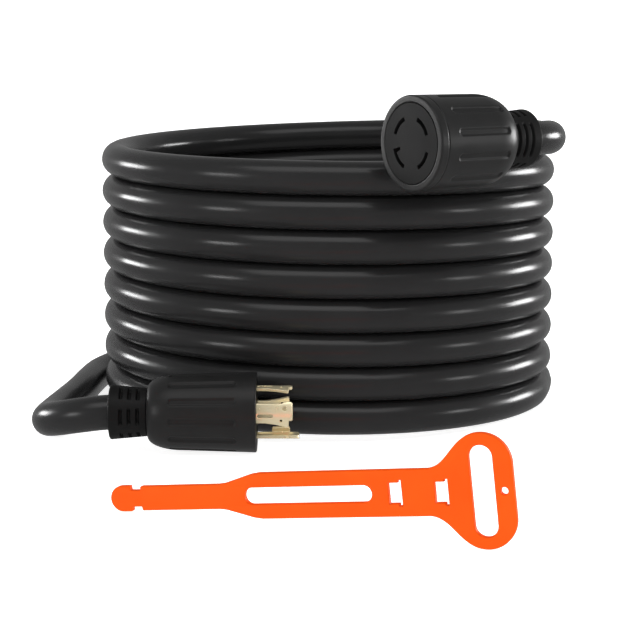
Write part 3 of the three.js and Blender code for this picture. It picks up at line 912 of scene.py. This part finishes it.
# %% Helper that makes a rounded plate
def plate(name, outlines, low, high, edge):
    """A plate between two heights, with its edges rounded to a radius, as a mesh."""
    data = bpy.data.curves.new(name, "CURVE")
    data.dimensions = "2D"
    data.fill_mode = "BOTH"
    data.extrude = (high - low) / 2 - edge
    data.bevel_depth = edge
    data.bevel_resolution = 2
    data.offset = -edge
    for outline in outlines:
        spline = data.splines.new("POLY")
        spline.points.add(len(outline) - 1)
        spline.use_cyclic_u = True
        for knot, (x, y) in zip(spline.points, outline):
            knot.co = (x, y, 0, 1)
    mesh = baked(bpy.data.objects.new(name, data))
    outward(mesh)
    mesh.transform(Matrix.Translation((0, 0, (low + high) / 2)))
    return mesh


def keep_flats(piece):
    """Weights the normals by area, so that flat faces shade flat up to their rounded edges."""
    modifier = piece.modifiers.new("flat faces", "WEIGHTED_NORMAL")
    modifier.keep_sharp = True
    return piece


# %% [markdown]
# ## Contact pattern
# Four curved contacts stand on a circle, and one of them, the ground, is L-shaped, so the
# plug only goes in one way round. A plug faces its connector, so its pattern is the mirror
# image, and it is rolled here until the ground blade is lowest.

# %% Places of the four contacts
POLES = {"hot_x": 137, "neutral": 45, "hot_y": 319, "ground": 220}  # degrees, on the connector
PLUG_ROLL = -50
BLADE_R = 12.7  # to the middle of the blades, in millimetres
BLADE_T = 1.5
POLE_SPAN = 46
GROUND_SPAN = 50
HOOK_L = 3.0  # the ground's inward leg


def slot_outline(pole, angle, grow, mirrored):
    """The hole for one contact: a curved bar, with an inward leg on the ground's."""
    span = GROUND_SPAN if pole == "ground" else POLE_SPAN
    half = span / 2 + math.degrees(grow / BLADE_R)
    inside, outside = BLADE_R - BLADE_T / 2 - grow, BLADE_R + BLADE_T / 2 + grow
    leg = math.degrees((BLADE_T + 2 * grow) / inside) if pole == "ground" else 0
    points = arc((0, 0), outside, -half, half, 12)
    points += arc((0, 0), inside, half, leg - half, 12)
    if leg:
        points += arc((0, 0), inside - HOOK_L, leg - half, -half, 2)
    turn, flip = math.radians(angle), -1 if mirrored else 1
    cosine, sine = math.cos(turn), math.sin(turn)
    return [(x * cosine - flip * y * sine, x * sine + flip * y * cosine) for x, y in points]


def pole_angle(pole, end):
    """Where a contact stands, in degrees: as listed, or mirrored and rolled on the plug."""
    return POLES[pole] if end is CONNECTOR else 180 - POLES[pole] + PLUG_ROLL


print("contacts on the plug:", {pole: pole_angle(pole, PLUG) % 360 for pole in POLES})


# %% Faces with their contact slots
FACE_GAP = 0.12  # hairline between a face and its shell
FACE_EDGE = 0.15
SLOT_GROW = 0.25  # room on each side of a blade in the connector


def front_face(end):
    """A face with its four slots, in the scene."""
    grow = SLOT_GROW if end is CONNECTOR else GAP
    outlines = [arc((0, 0), end["inner"] - FACE_GAP, 0, 356, 89)]
    for pole in POLES:
        outlines.append(slot_outline(pole, pole_angle(pole, end), grow, end is PLUG))
    mesh = plate(end["name"] + "_disc", outlines, -end["face_depth"], 0, FACE_EDGE)
    name, node = end["name"] + "_front", end["name"] + "_face"
    return keep_flats(place(name, mesh, end["stance"], "insulator_black", "cord_set", node))


faces = [front_face(PLUG), front_face(CONNECTOR)]

# %% [markdown]
# ## Blades
# A blade is stamped flat from brass strip and then formed, and that is the easiest way to
# model it too. Its flat pattern has the flared locking tip, the round hole, the slit and the
# notched corner. The pattern is sliced into narrow strips so that it can bend, and each point
# is then wrapped round the plug's axis. The ground blade also has a tab folded inwards.

# %% Flat patterns, with across and up in millimetres
ROOT = -17.0
HALF_ROOT = 4.95
HOT_BLADE = [
    (-HALF_ROOT, ROOT),
    (HALF_ROOT, ROOT),
    (HALF_ROOT, 4.5),
    (5.7, 9.6),
    *arc((6.5, 15.5), 0.7, 0, 90, 4),
    (3.3, 16.3),
    *arc((2.7, 17.3), 0.6, 0, 90, 4),
    *arc((-4.8, 17.1), 0.8, 90, 180, 4),
    (-5.6, 15.2),
    (-4.4, 11.8),
    (-4.6, 6.0),
]
HOT_HOLES = [
    arc((-2.2, 14.2), 1.1, 0, 345, 23),
    arc((3.7, 12.4), 0.65, 0, 340, 17),
    arc((1.4, 7.4), 0.85, 0, 180, 10) + arc((1.4, 1.4), 0.85, 180, 360, 10),
]
HALF_GROUND = 5.5
FOLD_AT = 4.6  # where the ground's tab starts to fold, from the middle of the blade
FOLD_R = 1.0
TAB = FOLD_AT + FOLD_R * math.pi / 2 + HOOK_L - FOLD_R
GROUND_BLADE = [
    (-HALF_GROUND, ROOT),
    (FOLD_AT + 0.2, ROOT),
    (FOLD_AT + 0.2, 7.5),
    *arc((TAB - 0.6, 8.1), 0.6, -90, 0, 4),
    *arc((TAB - 0.6, 16.0), 0.6, 0, 90, 4),
    (FOLD_AT + 0.2, 16.6),
    *arc((FOLD_AT - 1.2, 20.0), 1.4, 0, 90, 5),
    *arc((1.4 - HALF_GROUND, 20.0), 1.4, 90, 180, 5),
]
print("patterns:", len(HOT_BLADE), "and", len(GROUND_BLADE), "points")


# %% Wrap a flat pattern round the axis
SLICE_W = 0.4
SLICES = range(-20, 30)  # cuts on both sides of the middle, past the widest pattern


def wrap(mesh, angle, fold_at):
    """Bends a plate (across, up, thickness) round the Z axis, and folds it in past fold_at."""
    work = bmesh.new()
    work.from_mesh(mesh)
    for i in SLICES:
        bmesh.ops.bisect_plane(
            work,
            geom=work.verts[:] + work.edges[:] + work.faces[:],
            plane_co=(i * SLICE_W, 0, 0),
            plane_no=(1, 0, 0),
            dist=1e-4,
        )
    for vertex in work.verts:
        across, up, thick = vertex.co
        on_arc = min(across, fold_at)
        turn = math.radians(angle) + on_arc / BLADE_R
        out = Vector((math.cos(turn), math.sin(turn), 0))
        tangent = Vector((-out.y, out.x, 0))
        past = across - on_arc
        fold = min(past / FOLD_R, math.pi / 2)
        straight = past - fold * FOLD_R
        spot = out * (BLADE_R - FOLD_R * (1 - math.cos(fold))) + tangent * FOLD_R * math.sin(fold)
        spot += (tangent * math.cos(fold) - out * math.sin(fold)) * straight
        spot += (out * math.cos(fold) + tangent * math.sin(fold)) * thick
        vertex.co = (spot.x, spot.y, up)
    work.to_mesh(mesh)
    work.free()
    outward(mesh)
    return mesh


# %% Blades with their crimp barrels
BLADE_EDGE = 0.25
BARREL_X = 11.5  # from the plug's axis
BARREL_R = 2.7
BARREL_BORE = 1.95
BARREL_BACK, BARREL_FRONT = -25.5, -17.2
BARREL_EDGE = 0.2


def crimp_barrel(angle):
    """The tube behind a blade, in which its wire is crimped."""
    back, front, r, edge = BARREL_BACK, BARREL_FRONT, BARREL_R, BARREL_EDGE
    outline = [(BARREL_BORE, back), (r - edge, back), (r, back + edge)]
    outline += [(r, front - edge), (r - edge, front), (BARREL_BORE, front)]
    barrel = lathe("barrel", outline, 32)
    mesh = barrel.data
    bpy.data.objects.remove(barrel)
    turn = math.radians(angle)
    spot = (BARREL_X * math.cos(turn), BARREL_X * math.sin(turn), 0)
    mesh.transform(Matrix.Translation(spot))
    return mesh


def blade(pole):
    """A blade and its barrel as one piece, in the scene."""
    angle = pole_angle(pole, PLUG)
    if pole == "ground":
        outlines, fold_at = [GROUND_BLADE], FOLD_AT
    else:
        outlines, fold_at = [HOT_BLADE, *HOT_HOLES], math.inf
    formed = wrap(plate(pole, outlines, -BLADE_T / 2, BLADE_T / 2, BLADE_EDGE), angle, fold_at)
    work = bmesh.new()
    work.from_mesh(formed)
    work.from_mesh(crimp_barrel(angle))
    work.to_mesh(formed)
    work.free()
    name = "plug_prong_" + pole
    piece = place(name, formed, PLUG["stance"], "brass", "cord_set", "plug_blade_" + pole)
    return keep_flats(piece)


blades = [blade(pole) for pole in POLES]

# %% [markdown]
# ## Strap
# The strap is one flat polyurethane moulding, 3 mm thick. The narrow end goes round the coil
# and through the long slot, and its round head is pushed into one of the two windows, where
# the neck behind it locks. It stands on its lower edge, on the handle and on the head, so it
# leans by the difference between them.

# %% Outline of the strap, in millimetres from the middle of the handle's slot
STRAP_T = 3.0
STRAP_EDGE = 0.55
HANDLE_H = 24.5  # half heights
BODY_H = 10.1
STRIP_H = 5.5
NECK_H = 3.75
HANDLE_END = 13.0  # radius of the handle's two lobes
HEAD_R = 5.8
STATIONS = {"body": -101.5, "strip": -116.0, "neck": -157.0, "head": -161.8, "tip": -172.0}
HANDLE_SLOT = {"middle": -0.2, "half": 14.3, "radius": 5.0}
LONG_SLOT = {"from": -103.35, "to": -52.35, "radius": 3.65}
WINDOWS = (-41.2, -20.9)
EYE_X, EYE_R = 8.8, 1.6
STRAP_FOOT = Vector((65.2, -321.0, 0.0)) * MM
STRAP_YAW = math.radians(-21)


def cubic(a, b, c, d, steps):
    """Points along a cubic Bezier curve, without the first."""
    points = []
    for i in range(1, steps + 1):
        t = i / steps
        weights = ((1 - t) ** 3, 3 * t * (1 - t) ** 2, 3 * t * t * (1 - t), t**3)
        points.append(tuple(sum(w * p[k] for w, p in zip(weights, (a, b, c, d))) for k in (0, 1)))
    return points


def upper_edge():
    """The strap's upper edge, from the tip of the head to the end of the handle."""
    head, neck = STATIONS["head"], STATIONS["neck"]
    line = arc((STATIONS["tip"] + HEAD_R, 0), HEAD_R, 180, 90, 10)
    line += arc((head - 0.7, HEAD_R - 0.7), 0.7, 90, 0, 4)
    line += arc((head + 0.5, NECK_H + 0.5), 0.5, 180, 270, 4)
    line += arc((neck - 0.4, NECK_H + 0.4), 0.4, 270, 360, 3)
    line += arc((neck + 0.8, STRIP_H - 0.8), 0.8, 180, 90, 4)
    line += [(STATIONS["strip"] - 3, STRIP_H), (STATIONS["strip"], STRIP_H + 0.35)]
    line += [(STATIONS["body"] - 2, BODY_H - 0.6), (STATIONS["body"] + 2, BODY_H)]
    flare = [(-23.5, BODY_H), (-14, BODY_H + 1), (-12, HANDLE_H), (0, HANDLE_H)]
    line += [flare[0]] + cubic(*flare, 22)
    line += arc((0, HANDLE_H - HANDLE_END), HANDLE_END, 90, 0, 22)[1:]
    return line


def window(x):
    """A locking window: a square hole with a taller slit on its handle side."""
    w, slit, h, tall = 4.3, 1.4, 4.4, 5.5
    return [
        (x, -h),
        (x + w, -h),
        (x + w, -tall),
        (x + w + slit, -tall),
        (x + w + slit, tall),
        (x + w, tall),
        (x + w, h),
        (x, h),
    ]


def strap_holes():
    """The finger slot, the long slot, the hanging eye and the two windows."""
    x, half, r = HANDLE_SLOT["middle"], HANDLE_SLOT["half"], HANDLE_SLOT["radius"]
    handle_slot = arc((x, half), r, 0, 180, 20) + arc((x, -half), r, 180, 360, 20)
    far, near, r = LONG_SLOT["from"], LONG_SLOT["to"], LONG_SLOT["radius"]
    long_slot = arc((far, 0), r, 90, 270, 16) + arc((near, 0), r, -90, 90, 16)
    eye = arc((EYE_X, 0), EYE_R, 0, 345, 23)
    return [handle_slot, long_slot, eye, *map(window, WINDOWS)]


print("strap:", len(upper_edge()), "points on its upper edge,", len(strap_holes()), "holes")


# %% Mould the strap and stand it up
def strap():
    """The strap, leaning on its handle's lobe and its head, in the scene."""
    upper = upper_edge()
    outline = upper + [(x, -y) for x, y in reversed(upper[1:])]
    outlines = [outline, *strap_holes()]
    mesh = plate("strap_flat", outlines, -STRAP_T / 2, STRAP_T / 2, STRAP_EDGE)
    tilt = math.atan2(HANDLE_H - HEAD_R, -(STATIONS["tip"] + HEAD_R))
    lift = HANDLE_END + (HANDLE_H - HANDLE_END) * math.cos(tilt)
    stand = Matrix.Translation(COIL + STRAP_FOOT) @ Matrix.Rotation(STRAP_YAW, 4, "Z")
    stand = stand @ Matrix.Scale(MM, 4) @ Matrix.Translation((-HANDLE_H * math.sin(tilt), 0, lift))
    stand = stand @ Matrix.Rotation(-tilt, 4, "Y") @ Matrix.Rotation(math.pi / 2, 4, "X")
    return keep_flats(place("cable_strap", mesh, stand, "strap_orange", "strap", "strap"))


strap()

# %% [markdown]
# ## What the shells hold
# The shells hide the conductors, contacts and holders, so these keep their CAD shapes and
# only get their finishes.

# %% Finish the inner parts
INSIDE = [
    ("plug_core", "insulator_black"),
    ("connector_carrier", "insulator_black"),
    ("connector_contact_", "brass"),
    ("_strands_", "copper"),
    ("_wire_hot_x", "wire_black"),
    ("_wire_hot_y", "wire_red"),
    ("_wire_neutral", "wire_white"),
    ("_wire_ground", "wire_green"),
]
finished = []
for node_name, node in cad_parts.items():
    for part, slot_name in INSIDE:
        if part in node_name:
            node.data.materials.clear()
            node.data.materials.append(FINISH[slot_name])
            finished.append(node_name)
print("inner parts finished:", len(finished))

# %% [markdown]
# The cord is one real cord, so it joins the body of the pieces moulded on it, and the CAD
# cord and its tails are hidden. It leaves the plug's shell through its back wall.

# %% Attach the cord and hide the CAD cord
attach(cord, "cord_set")
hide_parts("cord_coil", "plug_tail", "connector_tail")
